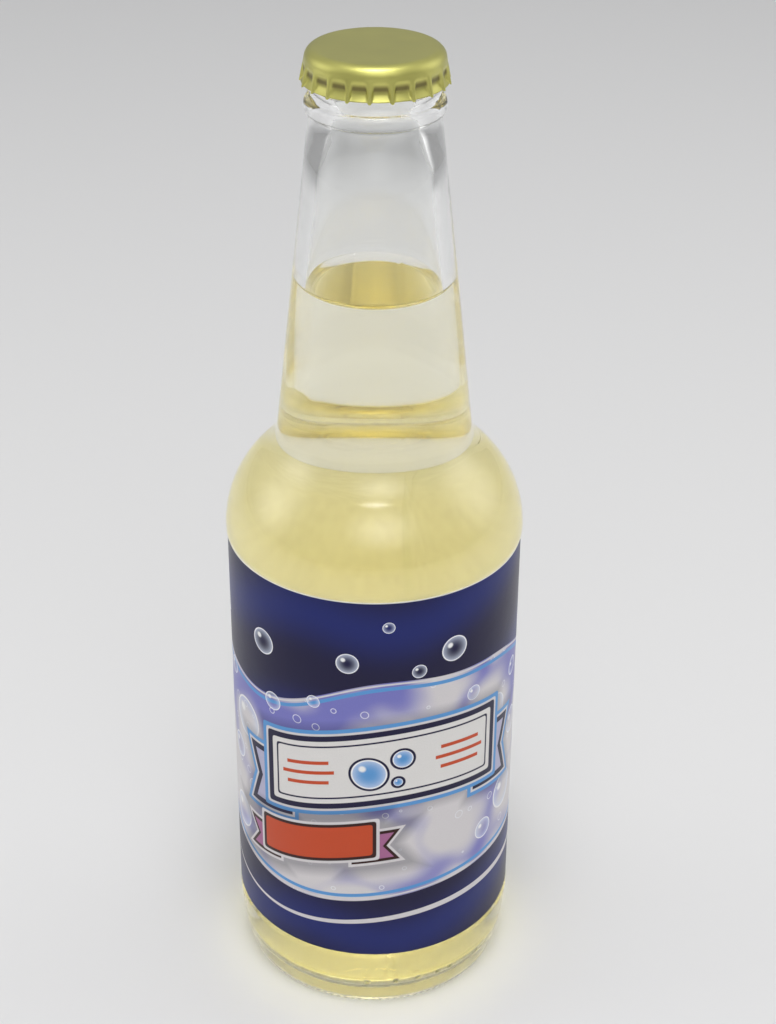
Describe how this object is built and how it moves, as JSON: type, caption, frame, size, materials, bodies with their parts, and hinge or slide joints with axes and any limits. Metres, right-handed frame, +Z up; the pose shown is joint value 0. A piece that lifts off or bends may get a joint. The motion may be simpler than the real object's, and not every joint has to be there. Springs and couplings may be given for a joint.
{
  "type": "soda bottle",
  "caption": "Clear glass soda bottle with conical neck, rounded shoulder, paper wrap label, pale yellow drink and a fluted crown cap that lifts off.",
  "frame": {"origin": "centre of the ring that the bottle stands on", "axes": "+Z up along the bottle's axis, -Y towards the front of the label, whose lapped seam is at +Y"},
  "size_m": [0.0632, 0.0632, 0.2148],
  "materials": {
    "clear_glass": "clear flint glass, glossy",
    "drink": "clear pale yellow liquid",
    "printed_paper": "varnished printed paper",
    "gold_tinplate": "satin gold lacquer on tinplate",
    "liner_compound": "satin moulded compound"
  },
  "bodies": {
    "glass": {"bottle": "clear_glass", "soda": "drink", "label": "printed_paper"},
    "crown": {"crown_shell": "gold_tinplate", "crown_liner": "liner_compound"}
  },
  "joints": [
    {"name": "crown_lift", "type": "slide", "parent": "glass", "child": "crown", "axis": [0, 0, 1], "range_m": [0, 0.06]}
  ]
}
